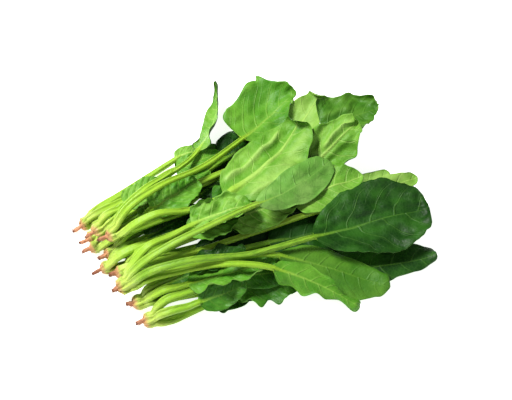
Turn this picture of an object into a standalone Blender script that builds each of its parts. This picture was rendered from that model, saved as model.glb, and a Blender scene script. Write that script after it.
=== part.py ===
"""Bunch of spinach: rooted plants lying side by side, with their leaves fanned out in layers.

Every plant is a cut root crown with whole leaves, each a stalk that runs on as the midrib of its blade.
Metres, +Z up. The stalks run towards +X, and the bunch lies on the plane Z = 0.
"""

import math
from collections import namedtuple

import bmesh
import bpy
import numpy as np
from mathutils import Matrix, Vector

# Driving sizes of a leaf
BLADE_THICKNESS = 0.0008
RIB_THICKNESS = 0.0020
STALK_THICKNESS = 0.0036
STALK_WIDE = 0.0058
STALK_WIDTH = 0.0044
STALK_BASE_WIDTH = 0.0039
STALK_BASE_THICKNESS = 0.0033
TIP_WIDTH = 0.0030
BASE_DOME = 0.0003
JOINT_GAP = 0.0005
WAVES = 2.3
STALK_ROUND = (0.80, 0.42)
STALK_TURN = 0.6
FLAT_FROM = 0.12
WAIST_AT = 0.74
WAIST_REACH = 0.13

# Driving sizes of a root crown. The profiles run from the cut root to the face that the stalks leave, as pairs of
# a share of the root's or the crown's length and a share of its radius.
ROOT_RADIUS = 0.0019
ROOT_LENGTH = 0.0085
CROWN_LENGTH = 0.0070
CROWN_SIDES = 9
CROWN_SUNK = 0.85
FACE_DOME = 0.0004
RING_SHARE = 0.66
ROOT_PROFILE = ((1.0, 0.75), (0.55, 1.0), (0.1, 1.3))
CROWN_PROFILE = ((0.75, 0.62), (0.45, 0.94), (0.15, 1.0), (0.0, 0.90))

# How the bunch lies
LAYER_GAP = 0.0006
HEAP_CELL = 0.0009
SAMPLE_STEP = 0.0008
DRAPE_SLOPE = 0.35
STEEPEST_STALK = 1.0
EXTRA_RISE = 0.0015
OWN_PLANT_CLEAR_FROM = 0.010
OTHER_PLANTS_CLEAR_FROM = 0.004
SETTLING_ROUNDS = 9
HEAP_SIDE = 0.52

# Where the cross-sections of a leaf stand: along its stalk, and as shares of its blade
STALK_BASE_STATIONS = (0.0, 0.006, 0.016)
STALK_SHARES = (0.22, 0.60)
BLADE_SHARES = (0.0, 0.08, 0.20, 0.34, 0.48, 0.62, 0.76, 0.88, 0.96)
ACROSS = (-1.0, -0.52, 0.0, 0.52, 1.0)
STALK_ROWS = len(STALK_BASE_STATIONS) + len(STALK_SHARES) + 1

# A blade's outline is widest at this share of its length, and blunter or more pointed at its tip. Its lobes
# stand out by this share of its half width, its left half is wider by this share, and it narrows by this share
# at a waist before its tip.
Form = namedtuple("Form", "widest tip lobes lean waist")
FORMS = {
    "broad": Form(0.34, 0.62, 0.0, 0.0, 0.0),
    "skewed": Form(0.36, 0.55, 0.0, 0.28, 0.0),
    "oval": Form(0.46, 0.55, 0.0, 0.0, 0.0),
    "spoon": Form(0.58, 0.50, 0.0, 0.0, 0.0),
    "lobed": Form(0.40, 0.66, 0.20, 0.0, 0.0),
    "arrow": Form(0.20, 1.15, 0.06, 0.0, 0.0),
    "waisted": Form(0.40, 0.42, 0.12, 0.0, 0.62),
}

# The greens of the leaves, as linear colours, and the roots' pink
GREENS = {
    "light": (0.22, 0.46, 0.06),
    "mid": (0.10, 0.29, 0.04),
    "dark": (0.03, 0.13, 0.02),
}
LEAF_ROUGHNESS = 0.45
ROOT_PINK = (0.62, 0.36, 0.24)
ROOT_ROUGHNESS = 0.70

# A plant: where its crown's front face is, its radius, the way it points, how far its stalks hold it up, and
# whether it was laid on top, after the leaves of the others
Plant = namedtuple("Plant", "x y radius heading held_up on_top")
PLANTS = {
    1: Plant(-0.1445, 0.0665, 0.0052, 6, 0.0, False),
    2: Plant(-0.145, 0.050, 0.0054, 4, 0.0, False),
    3: Plant(-0.141, 0.043, 0.0054, 12, 0.0, True),
    4: Plant(-0.133, 0.028, 0.0066, 2, 0.0, True),
    5: Plant(-0.148, 0.037, 0.0062, -2, 0.0, False),
    6: Plant(-0.139, 0.024, 0.0062, -4, 0.0, False),
    7: Plant(-0.149, 0.011, 0.0060, -8, 0.0, False),
    8: Plant(-0.140, -0.001, 0.0062, -12, 0.003, False),
    9: Plant(-0.147, -0.021, 0.0076, -4, 0.012, False),
    10: Plant(-0.140, -0.036, 0.0066, -14, 0.0, False),
    11: Plant(-0.140, -0.057, 0.0068, -10, 0.0, False),
}

# A leaf, in the order in which the leaves lie from the bottom up: its plant and letter; its place round the
# crown, in degrees from the left side over the top; the heading of its stalk, how far that turns along
# the stalk and along the blade; the stalk's and the blade's length and the blade's width in millimetres;
# the blade's roll about its midrib in degrees; how far its tip stands off, how far its margins are cupped up
# and how high they wave, in millimetres; its outline and its green.
Leaf = namedtuple("Leaf", "plant letter slot heading turn bend stalk length width roll perk cup wave form green")
MM = 0.001
LEAVES = [
    Leaf(2, "a", 330, 12, -9, 7, 100, 62, 40, 8, 2, 3, 3, "broad", "mid"),
    Leaf(5, "a", 270, -5, 4, 6, 118, 84, 50, -6, 2, 3, 3, "oval", "dark"),
    Leaf(6, "a", 270, -8, 2, 4, 128, 82, 50, -8, 2, 3, 3, "oval", "dark"),
    Leaf(7, "a", 270, -12, -4, -4, 128, 84, 50, 5, 2, 3, 3, "oval", "dark"),
    Leaf(8, "a", 290, -15, -4, -6, 64, 106, 44, 8, 2, 3, 3, "lobed", "dark"),
    Leaf(10, "a", 310, -8, -6, -6, 118, 72, 40, 4, 2, 3, 3, "oval", "dark"),
    Leaf(11, "a", 270, -6, -6, 4, 56, 50, 34, -8, 2, 3, 3, "broad", "dark"),
    Leaf(6, "c", 180, -9, -2, -6, 92, 62, 36, -6, 2, 3, 3, "lobed", "dark"),
    Leaf(6, "d", 0, 3, 8, 8, 96, 64, 34, 8, 2, 3, 3, "lobed", "dark"),
    Leaf(7, "c", 338, -2, 2, 4, 74, 56, 32, -6, 2, 3, 3, "lobed", "mid"),
    Leaf(7, "d", 34, 2, 2, 2, 40, 54, 28, 4, 2, 3, 3, "lobed", "dark"),
    Leaf(10, "f", 4, 1, -4, -6, 26, 56, 26, 6, 2, 3, 3, "lobed", "mid"),
    Leaf(10, "e", 240, -13, -15, 15, 160, 118, 44, 18, 4, -5, 3, "oval", "dark"),
    Leaf(2, "b", 230, 0, 14, -12, 146, 70, 48, 6, 4, 3, 3, "broad", "dark"),
    Leaf(1, "a", 220, -4, -8, 17, 64, 60, 22, 10, 2, 3, 2, "oval", "mid"),
    Leaf(1, "b", 0, 14, -13, -24, 106, 30, 18, -10, 3, 3, 2, "oval", "light"),
    Leaf(1, "c", 90, 6, -14, 16, 96, 48, 20, 12, 4, 2, 2, "broad", "light"),
    Leaf(11, "b", 190, -9, 4, 2, 74, 48, 28, 5, 2, 3, 3, "oval", "mid"),
    Leaf(2, "c", 110, -6, 14, 24, 176, 95, 48, -12, 26, 5, 5, "broad", "light"),
    Leaf(5, "b", 30, 1, -5, -9, 242, 61, 56, -16, 12, 6, 6, "broad", "mid"),
    Leaf(8, "d", 215, -17, 0, 10, 134, 80, 50, 6, 4, 4, 4, "broad", "dark"),
    Leaf(8, "b", 84, -9, 7, -12, 182, 88, 28, 5, 12, 4, 2, "spoon", "light"),
    Leaf(8, "c", 155, -13, 7, 0, 200, 93, 32, 4, 12, 4, 2, "spoon", "light"),
    Leaf(5, "c", 150, -9, 6, 20, 206, 66, 50, 14, 16, 7, 6, "broad", "light"),
    Leaf(7, "b", 96, -6, -8, 10, 176, 76, 46, -8, 6, 4, 3, "broad", "light"),
    Leaf(8, "e", 10, -9, 2, -4, 100, 70, 42, -6, 3, 4, 4, "oval", "dark"),
    Leaf(6, "b", 90, -4, -6, 4, 100, 72, 42, -10, 4, 5, 4, "lobed", "dark"),
    Leaf(10, "b", 185, -20, 0, -8, 82, 64, 38, 6, 3, 3, 4, "lobed", "mid"),
    Leaf(11, "c", 340, -6, -2, -6, 54, 36, 22, -12, 2, 2, 2, "oval", "mid"),
    Leaf(11, "d", 50, -6, -8, -6, 82, 52, 26, 8, 3, 2, 3, "oval", "mid"),
    Leaf(11, "e", 120, -18, 8, 2, 42, 44, 22, 14, 1, 2, 2, "oval", "mid"),
    Leaf(10, "c", 120, -24, 12, -5, 42, 82, 34, -26, 5, 4, 4, "lobed", "mid"),
    Leaf(10, "d", 50, -6, 4, -6, 48, 56, 24, -10, 3, 3, 3, "lobed", "dark"),
    Leaf(3, "a", 165, 5, -11, 6, 34, 38, 20, 10, 3, 2, 2, "oval", "mid"),
    Leaf(3, "b", 40, 9, -4, 6, 30, 46, 32, -10, 3, 3, 2, "oval", "light"),
    Leaf(4, "a", 270, -4, 12, 10, 38, 56, 36, -8, 2, 3, 3, "oval", "mid"),
    Leaf(4, "b", 12, 14, 20, 32, 120, 96, 28, -52, 16, 5, 2, "arrow", "mid"),
    Leaf(4, "c", 70, 9, 16, -18, 164, 76, 54, 8, 12, 9, 3, "skewed", "mid"),
    Leaf(4, "d", 170, -15, 22, 28, 106, 120, 60, 4, 4, 5, 3, "oval", "light"),
    Leaf(9, "a", 230, -13, -17, -21, 138, 104, 46, 12, 3, -4, 2, "spoon", "mid"),
    Leaf(9, "b", 330, 10, -10, -12, 70, 58, 30, -6, 2, 4, 3, "oval", "mid"),
    Leaf(9, "c", 30, 11, -10, -20, 76, 60, 36, -26, 3, 5, 3, "oval", "light"),
    Leaf(9, "d", 180, -19, -17, -24, 130, 82, 25, 16, 2, -4, 3, "waisted", "mid"),
    Leaf(9, "e", 80, -5, 11, 13, 134, 95, 34, 10, 4, -3, 1, "spoon", "mid"),
    Leaf(9, "f", 130, -21, 18, -15, 174, 117, 74, -4, 20, 4, 3, "spoon", "dark"),
]


def turned(direction, degrees):
    angle = math.radians(degrees)
    x, y = direction
    return np.array((x * math.cos(angle) - y * math.sin(angle), x * math.sin(angle) + y * math.cos(angle)))


def towards(heading):
    return turned((1.0, 0.0), heading)


class Heap:
    """The height of what has been laid so far, over a square grid on the ground."""

    def __init__(self):
        cells = round(HEAP_SIDE / HEAP_CELL)
        self.top = np.zeros((cells, cells))

    def cell_of(self, x, y):
        last = len(self.top) - 2
        column = np.clip(((x + HEAP_SIDE / 2) / HEAP_CELL).astype(int), 1, last)
        row = np.clip(((y + HEAP_SIDE / 2) / HEAP_CELL).astype(int), 1, last)
        return column, row

    def raise_to(self, points):
        column, row = self.cell_of(points[:, 0], points[:, 1])
        np.maximum.at(self.top, (column, row), points[:, 2])

    def under(self, points):
        """The highest thing within a cell of each point."""
        column, row = self.cell_of(points[:, 0], points[:, 1])
        around = [self.top[column + i, row + j] for i in (-1, 0, 1) for j in (-1, 0, 1)]
        return np.max(around, axis=0)


def between(corner, share_along, share_across):
    """Points on the two triangles that split a cell along its diagonal, from the cell's four corners."""
    first, next_along, next_across, far = corner
    along, across = share_along[:, None], share_across[:, None]
    lower = first + along * (next_along - first) + across * (far - next_along)
    upper = first + across * (next_across - first) + along * (far - next_across)
    return np.where(along >= across, lower, upper)


def samples_of(sheet):
    """Points all over a sheet of rows and columns, with the row and column that each lies at."""
    found, rows, columns = [], [], []
    for i in range(len(sheet) - 1):
        for j in range(sheet.shape[1] - 1):
            corner = (sheet[i, j], sheet[i + 1, j], sheet[i, j + 1], sheet[i + 1, j + 1])
            long_side = max(np.linalg.norm(corner[1] - corner[0]), np.linalg.norm(corner[3] - corner[2]))
            wide_side = max(np.linalg.norm(corner[2] - corner[0]), np.linalg.norm(corner[3] - corner[1]))
            steps = [np.linspace(0, 1, max(2, math.ceil(side / SAMPLE_STEP))) for side in (long_side, wide_side)]
            along, across = (part.ravel() for part in np.meshgrid(*steps, indexing="ij"))
            found.append(between(corner, along, across))
            rows.append(i + along)
            columns.append(j + across)
    return np.concatenate(found), np.concatenate(rows), np.concatenate(columns)


def outline(form, share):
    """The blade's half width at a share of its length, as a share of the widest."""
    rise = form.tip * form.widest / (1 - form.widest)
    waist = 1 - form.waist * math.exp(-(((share - WAIST_AT) / WAIST_REACH) ** 2))
    return (share / form.widest) ** rise * ((1 - share) / (1 - form.widest)) ** form.tip * waist


def stations(leaf):
    """How far along the leaf each cross-section stands, and its share of the blade, below 0 on the stalk."""
    stalk, length = leaf.stalk * MM, leaf.length * MM
    free = stalk - STALK_BASE_STATIONS[-1]
    along = list(STALK_BASE_STATIONS) + [STALK_BASE_STATIONS[-1] + share * free for share in STALK_SHARES]
    along += [stalk + share * length for share in BLADE_SHARES]
    shares = [-1.0] * (len(STALK_BASE_STATIONS) + len(STALK_SHARES)) + list(BLADE_SHARES)
    return np.array(along), np.array(shares)


def midline(leaf, start, floor):
    """The leaf's midline before it is laid, and the level direction across it, at each cross-section."""
    along, shares = stations(leaf)
    stalk, length = leaf.stalk * MM, leaf.length * MM
    plant = PLANTS[leaf.plant]
    slot = math.radians(leaf.slot)
    sideways = turned(towards(plant.heading), 90)
    swell = 0.30 * plant.radius
    points, across, place, last = [], [], np.array(start[:2]), 0.0
    for distance, share in zip(along, shares):
        for step in np.linspace(last, distance, 8)[1:]:
            on_stalk = min(step / stalk, 1.0) ** 2
            on_blade = max(0.0, (step - stalk) / length)
            heading = leaf.heading + leaf.turn * on_stalk + leaf.bend * on_blade
            place = place + towards(heading) * (distance - last) / 7
        last = distance
        heading = leaf.heading + leaf.turn * min(distance / stalk, 1.0) ** 2
        heading += leaf.bend * max(0.0, share)
        bulge = swell * (distance / 0.012) * math.exp(1 - distance / 0.012)
        sunk = start[2] + (floor - start[2]) * min(distance / (0.8 * stalk), 1.0) ** 1.5
        perk = leaf.perk * MM * max(0.0, share) ** 1.5
        level = sunk + perk + bulge * max(0.0, math.sin(slot))
        plan = place + sideways * bulge * math.cos(slot)
        points.append((plan[0], plan[1], level))
        across.append(turned(towards(heading), 90))
    return np.array(points), np.array(across), along, shares


def section_of(leaf, distance, share):
    """The leaf's half width and its thicknesses across, where it is this far along and this share of its blade."""
    form = FORMS[leaf.form]
    near_base = math.exp(-distance / 0.009)
    stalk_wide = STALK_WIDE + (STALK_WIDTH - STALK_WIDE) * min(1.0, distance / (leaf.stalk * MM))
    stalk_wide += (STALK_BASE_WIDTH - stalk_wide) * near_base
    stalk_thick = STALK_THICKNESS + (STALK_BASE_THICKNESS - STALK_THICKNESS) * near_base
    half = stalk_wide / 2 * (1 - share) + leaf.width * MM / 2 * outline(form, share)
    flat = min(1.0, share / FLAT_FROM)
    rib = stalk_thick + (RIB_THICKNESS + (BLADE_THICKNESS - RIB_THICKNESS) * share - stalk_thick) * flat
    body, edge = (stalk_thick * round_off * (1 - flat) + BLADE_THICKNESS * flat for round_off in STALK_ROUND)
    return max(half, TIP_WIDTH / 2), (edge, body, rib, body, edge)


def cage_of(leaf, start):
    """The leaf's upper and lower skins, as rows of points across it, before it is laid on the heap."""
    form = FORMS[leaf.form]
    points, level_across, along, shares = midline(leaf, start, STALK_THICKNESS / 2)
    turn_in_ring = STALK_TURN * math.radians((180 - leaf.slot) % 180 - 90)
    upper, lower = [], []
    for row, (point, aside, distance, share) in enumerate(zip(points, level_across, along, shares)):
        blade = max(0.0, share)
        flat = min(1.0, blade / FLAT_FROM)
        half, thicknesses = section_of(leaf, distance, blade)
        roll = math.radians(leaf.roll) * min(1.0, blade / 0.2) - turn_in_ring * math.exp(-((distance / 0.012) ** 2))
        side = np.array((*aside * math.cos(roll), math.sin(roll)))
        normal = np.array((*(-aside * math.sin(roll)), math.cos(roll)))
        lobe = 1 + form.lobes * (-1) ** row * (0.1 < blade < 0.7)
        top, bottom = [], []
        for across, thick in zip(ACROSS, thicknesses):
            lean = 1 + math.copysign(form.lean * flat, across)
            reach = half * across * lean * (lobe if abs(across) == 1 else 1)
            phase = 2 * math.pi * WAVES * blade + (1.7 if across > 0 else 0.0) + leaf.plant
            rise = (leaf.cup + leaf.wave * math.sin(phase) / 2) * MM * across**2 * flat
            middle = point + side * reach + normal * rise
            top.append(middle + normal * thick / 2)
            bottom.append(middle - normal * thick / 2)
        upper.append(top)
        lower.append(bottom)
    return np.array(upper), np.array(lower), along


def shortfall(lower, along, heaps):
    """How far the corners of each cell must rise for the cell to clear the heaps."""
    points, rows, columns = samples_of(lower)
    distance = np.interp(rows, np.arange(len(along)), along)
    short = np.maximum(-points[:, 2], 0.0)
    for heap, clear_from in heaps:
        under = heap.under(points)
        wanted = under + LAYER_GAP - points[:, 2]
        short = np.where((distance >= clear_from) & (under > 0), np.maximum(short, wanted), short)
    need = np.zeros(lower.shape[:2])
    row = np.minimum(rows.astype(int), lower.shape[0] - 2)
    column = np.minimum(columns.astype(int), lower.shape[1] - 2)
    for i in (0, 1):
        for j in (0, 1):
            weight = (1 - abs(rows - row - i)) * (1 - abs(columns - column - j))
            np.maximum.at(need, (row + i, column + j), short * np.minimum(1.0, 4 * weight))
    return need


def draped(lift, lower):
    """The rise spread over the leaf: level across the stalk, and sloping off as a leaf drapes."""
    level = lift.copy()
    level[:STALK_ROWS] = lift[:STALK_ROWS].max(axis=1, keepdims=True)
    plan = lower[:, :, :2].reshape(-1, 2)
    away = np.linalg.norm(plan[:, None] - plan[None], axis=2)
    spread = (level.reshape(1, -1) - DRAPE_SLOPE * away).max(axis=1).reshape(lift.shape)
    return np.maximum(spread, 0.0)


def laid(leaf, start, heap, own):
    """The leaf's skins where it lies on the heap."""
    upper, lower, along = cage_of(leaf, start)
    heaps = ((heap, OTHER_PLANTS_CLEAR_FROM), (own, OWN_PLANT_CLEAR_FROM))
    highest = draped(shortfall(lower, along, heaps), lower) + EXTRA_RISE
    highest = np.minimum(highest, STEEPEST_STALK * along[:, None])
    risen = np.zeros(lower.shape[:2])
    for _ in range(SETTLING_ROUNDS):
        sheet = lower.copy()
        sheet[:, :, 2] += risen
        risen = np.minimum(draped(risen + shortfall(sheet, along, heaps), lower), highest)
    upper[:, :, 2] += risen
    lower[:, :, 2] += risen
    return upper, lower


def skinned(rings, ends, cut_forward):
    """A closed body over rings of points, domed at both ends. Its cells are cut along the diagonal that
    cut_forward gives for each place round the ring."""
    body = bmesh.new()
    loops = [[body.verts.new(point) for point in ring] for ring in rings]
    count = len(rings[0])
    for near, far in zip(loops, loops[1:]):
        for i in range(count):
            j = (i + 1) % count
            if cut_forward(i):
                body.faces.new((near[i], near[j], far[j]))
                body.faces.new((near[i], far[j], far[i]))
            else:
                body.faces.new((near[i], near[j], far[i]))
                body.faces.new((near[j], far[j], far[i]))
    for loop, end in zip((loops[0], loops[-1]), ends):
        tip = body.verts.new(end)
        for i in range(count):
            body.faces.new((loop[i], loop[(i + 1) % count], tip))
    bmesh.ops.recalc_face_normals(body, faces=body.faces)
    return body


def add_object(name, body, parent, place, heading, material):
    """Adds the body as an object with its origin at place, turned to its heading, under its plant."""
    placement = Matrix.Translation(place) @ Matrix.Rotation(math.radians(heading), 4, "Z")
    body.transform(placement.inverted())
    mesh = bpy.data.meshes.new(name)
    body.to_mesh(mesh)
    body.free()
    mesh.shade_smooth()
    mesh.materials.append(material)
    thing = bpy.data.objects.new(name, mesh)
    bpy.context.scene.collection.objects.link(thing)
    thing.parent = parent
    turn = Matrix.Rotation(-parent.rotation_euler.z, 3, "Z")
    thing.location = turn @ (Vector(place) - parent.location)
    thing.rotation_euler.z = math.radians(heading) - parent.rotation_euler.z


def add_empty(name, place, heading, parent):
    empty = bpy.data.objects.new(name, None)
    bpy.context.scene.collection.objects.link(empty)
    empty.empty_display_size = 0.01
    empty.location = place
    empty.rotation_euler.z = math.radians(heading)
    empty.parent = parent
    return empty


def finish(name, colour, roughness):
    material = bpy.data.materials.new(name)
    material.use_nodes = True
    shader = material.node_tree.nodes["Principled BSDF"]
    shader.inputs["Base Color"].default_value = (*colour, 1.0)
    shader.inputs["Roughness"].default_value = roughness
    shader.inputs["Metallic"].default_value = 0.0
    return material


def dome(end_ring, next_ring, height):
    """The top of the dome that closes an end."""
    outward = end_ring.mean(axis=0) - next_ring.mean(axis=0)
    return end_ring.mean(axis=0) + outward / np.linalg.norm(outward) * height


def cut_alike(place):
    """Whether a leaf's cell is cut forward, so that both its faces and its left margin are cut alike."""
    return place < len(ACROSS) - 1 or place == 2 * len(ACROSS) - 1


def add_leaf(leaf, start, heap, own, parent):
    """Lays a leaf on the heap and returns its points."""
    upper, lower = laid(leaf, start, heap, own)
    for skin in (upper, lower):
        points, _, _ = samples_of(skin)
        heap.raise_to(points)
        own.raise_to(points)
    rings = np.concatenate((upper, lower[:, ::-1]), axis=1)
    ends = dome(rings[0], rings[1], BASE_DOME), dome(rings[-1], rings[-2], 0.03 * leaf.length * MM)
    name = f"plant_{leaf.plant:02d}_leaf_{leaf.letter}"
    green = finish(f"{name}_green", GREENS[leaf.green], LEAF_ROUGHNESS)
    add_object(name, skinned(rings, ends, cut_alike), parent, start, leaf.heading, green)
    return np.concatenate((rings.reshape(-1, 3), ends))


def crown_rings(plant, level, on_ground):
    """Rings of the crown from the cut end of its root to the face that the stalks leave."""
    ahead = np.array((*towards(plant.heading), 0.0))
    aside = np.array((*turned(towards(plant.heading), 90), 0.0))
    up = np.array((0.0, 0.0, 1.0))
    profile = [(-CROWN_LENGTH - share * ROOT_LENGTH, wide * ROOT_RADIUS) for share, wide in ROOT_PROFILE]
    profile += [(-share * CROWN_LENGTH, wide * plant.radius) for share, wide in CROWN_PROFILE]
    rings = []
    for along, wide in profile:
        angles = 2 * np.pi * (np.arange(CROWN_SIDES) + 0.25) / CROWN_SIDES
        centre = np.array((plant.x, plant.y, level)) + ahead * along
        ring = centre + wide * (np.outer(np.cos(angles), aside) + np.outer(np.sin(angles), up))
        if on_ground:
            ring[:, 2] = np.maximum(ring[:, 2], 0.0)
        rings.append(ring)
    return np.array(rings), ahead


def samples_round(rings):
    points, _, _ = samples_of(np.concatenate((rings, rings[:, :1]), axis=1))
    return points


def add_crown(number, heap, own, parent):
    """Stands the crown on the ground or on what lies under it, and returns its plant's empty and its points."""
    plant = PLANTS[number]
    level = CROWN_SUNK * plant.radius + plant.held_up
    points = samples_round(crown_rings(plant, level, False)[0])
    below = points[points[:, 2] < level]
    under = heap.under(below)
    raised = (under + LAYER_GAP - below[:, 2])[under > 0].max(initial=0.0)
    on_ground = raised <= 0 and plant.held_up == 0
    level += max(0.0, raised)
    rings, ahead = crown_rings(plant, level, on_ground)
    points = samples_round(rings)
    heap.raise_to(points)
    own.raise_to(points)
    name = f"plant_{number:02d}"
    empty = add_empty(name, (plant.x, plant.y, level), plant.heading, parent)
    ends = dome(rings[0], rings[1], 2 * FACE_DOME), dome(rings[-1], rings[-2], FACE_DOME)
    body = skinned(rings, ends, lambda place: True)
    pink = finish(f"{name}_crown_pink", ROOT_PINK, ROOT_ROUGHNESS)
    add_object(f"{name}_crown", body, empty, empty.location, plant.heading, pink)
    return empty, np.concatenate((rings.reshape(-1, 3), ends))


def socket(leaf, level):
    """Where the leaf's stalk starts in the ring of stalks in front of the crown's face."""
    plant = PLANTS[leaf.plant]
    slot = math.radians(leaf.slot)
    reach = RING_SHARE * plant.radius
    ahead, aside = towards(plant.heading), turned(towards(plant.heading), 90)
    forward = FACE_DOME + JOINT_GAP + BASE_DOME
    place = np.array((plant.x, plant.y)) + ahead * forward + aside * reach * math.cos(slot)
    height = max(level + reach * math.sin(slot), STALK_BASE_THICKNESS / 2 + LAYER_GAP / 4)
    return np.array((*place, height))


def main():
    for thing in list(bpy.data.objects):
        bpy.data.objects.remove(thing)
    bunch = add_empty("bunch", (0.0, 0.0, 0.0), 0.0, None)
    heap = Heap()
    own = {number: Heap() for number in PLANTS}
    plants, points = {}, []
    last_crowns = [number for number in PLANTS if PLANTS[number].on_top]
    for number in PLANTS:
        if number not in last_crowns:
            plants[number], found = add_crown(number, heap, own[number], bunch)
            points.append(found)
    for leaf in LEAVES:
        if leaf.plant not in plants:
            plants[leaf.plant], found = add_crown(leaf.plant, heap, own[leaf.plant], bunch)
            points.append(found)
        plant = plants[leaf.plant]
        points.append(add_leaf(leaf, socket(leaf, plant.location.z), heap, own[leaf.plant], plant))
    every = np.concatenate(points)
    low, high = every.min(axis=0), every.max(axis=0)
    bunch.location = (-(low[0] + high[0]) / 2, -(low[1] + high[1]) / 2, -low[2])


main()
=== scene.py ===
"""A bunch of rooted spinach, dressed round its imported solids: root crowns, stalks and crinkled leaves."""

import math
from collections import namedtuple

import bpy
import numpy as np
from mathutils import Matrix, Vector


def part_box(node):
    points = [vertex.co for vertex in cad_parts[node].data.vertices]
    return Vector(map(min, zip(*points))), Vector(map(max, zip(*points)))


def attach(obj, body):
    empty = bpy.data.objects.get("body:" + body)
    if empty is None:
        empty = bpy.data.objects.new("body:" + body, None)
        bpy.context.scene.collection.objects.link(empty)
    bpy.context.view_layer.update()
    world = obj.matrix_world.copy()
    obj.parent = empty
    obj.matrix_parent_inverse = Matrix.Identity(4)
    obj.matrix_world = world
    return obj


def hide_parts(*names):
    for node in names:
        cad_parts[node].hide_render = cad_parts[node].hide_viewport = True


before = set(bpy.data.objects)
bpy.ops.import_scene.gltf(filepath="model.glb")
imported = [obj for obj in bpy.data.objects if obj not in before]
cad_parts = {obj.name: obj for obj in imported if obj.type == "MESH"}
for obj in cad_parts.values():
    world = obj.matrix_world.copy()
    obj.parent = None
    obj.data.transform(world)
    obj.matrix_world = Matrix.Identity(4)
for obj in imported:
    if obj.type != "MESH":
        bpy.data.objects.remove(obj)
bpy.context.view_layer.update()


# The light table
# The bunch lies on a plain white sheet, lit a little from behind, that runs on past the edges of the picture.
# Two soft lamps and a pale room light it, and the camera looks down on it from the side of the roots.

FLOOR_SIZE = 6.0
FLOOR_WHITE = (0.93, 0.93, 0.925, 1)
FLOOR_GLOW = 0.80
ROOM_LIGHT = 0.22
LAMPS_AIM = Vector((0, 0, 0.02))
LENS = 85
SENSOR_WIDTH = 36
VIEW_TURN = math.radians(-30)
VIEW_RISE = math.radians(55)
VIEW_DISTANCE = 1.13
VIEW_TARGET = Vector((0.0050, -0.0037, 0.020))

bpy.ops.mesh.primitive_plane_add(size=FLOOR_SIZE)
floor = bpy.context.object
floor.name = "floor"
floor_paint = bpy.data.materials.new("white_sheet")
floor_paint.use_nodes = True
floor_shader = floor_paint.node_tree.nodes["Principled BSDF"]
floor_shader.inputs["Base Color"].default_value = FLOOR_WHITE
floor_shader.inputs["Roughness"].default_value = 0.9
floor_shader.inputs["Specular IOR Level"].default_value = 0.1
floor_shader.inputs["Emission Color"].default_value = (1, 1, 1, 1)
floor_shader.inputs["Emission Strength"].default_value = FLOOR_GLOW
floor.data.materials.append(floor_paint)


def lamp(name, power, size, colour, place):
    """A square soft lamp at that place, turned to the bunch."""
    light = bpy.data.lights.new(name, "AREA")
    light.energy = power
    light.size = size
    light.color = colour
    holder = bpy.data.objects.new(name, light)
    holder.location = place
    aim = Vector(place) - LAMPS_AIM
    holder.rotation_euler = aim.to_track_quat("Z", "Y").to_euler()
    bpy.context.scene.collection.objects.link(holder)


lamp("key_lamp", power=31, size=0.40, colour=(1.0, 0.985, 0.95), place=(-0.50, 0.55, 1.15))
lamp("front_lamp", power=3.5, size=0.8, colour=(0.97, 0.98, 1.0), place=(0.1, -1.1, 0.9))
room = bpy.data.worlds.new("bright_room")
room.use_nodes = True
room.node_tree.nodes["Background"].inputs["Color"].default_value = (1, 1, 1, 1)
room.node_tree.nodes["Background"].inputs["Strength"].default_value = ROOM_LIGHT
bpy.context.scene.world = room
bpy.context.scene.view_settings.view_transform = "Standard"

camera = bpy.data.objects.new("camera", bpy.data.cameras.new("camera"))
camera.data.lens = LENS
camera.data.sensor_width = SENSOR_WIDTH
back = Vector((
    math.sin(VIEW_TURN) * math.cos(VIEW_RISE),
    -math.cos(VIEW_TURN) * math.cos(VIEW_RISE),
    math.sin(VIEW_RISE),
))
camera.location = VIEW_TARGET + back * VIEW_DISTANCE
camera.rotation_euler = back.to_track_quat("Z", "Y").to_euler()
bpy.context.scene.collection.objects.link(camera)
bpy.context.scene.camera = camera


# The root crowns
# Each plant ends in a short tap root, cut off below a swollen crown that its stalks grow out of. The root is
# pink to tan with a rough brown cut and a few broken rootlets, and the crown turns pale green at the stalks.

class Value:
    """A number that varies over a surface. Sums and products of it add their own nodes to its finish."""

    def __init__(self, finish, socket):
        self.finish = finish
        self.socket = socket

    def with_other(self, operation, first, second):
        """The value that a Math node makes of the two."""
        return self.finish.node("Math", {"operation": operation}, {0: first, 1: second})

    def __add__(self, other):
        return self.with_other("ADD", self, other)

    def __radd__(self, other):
        return self.with_other("ADD", other, self)

    def __sub__(self, other):
        return self.with_other("SUBTRACT", self, other)

    def __rsub__(self, other):
        return self.with_other("SUBTRACT", other, self)

    def __mul__(self, other):
        return self.with_other("MULTIPLY", self, other)

    def __rmul__(self, other):
        return self.with_other("MULTIPLY", other, self)

    def __abs__(self):
        return self.with_other("ABSOLUTE", self, 0.0)


BUMP_DEPTH = 0.0006


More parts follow.
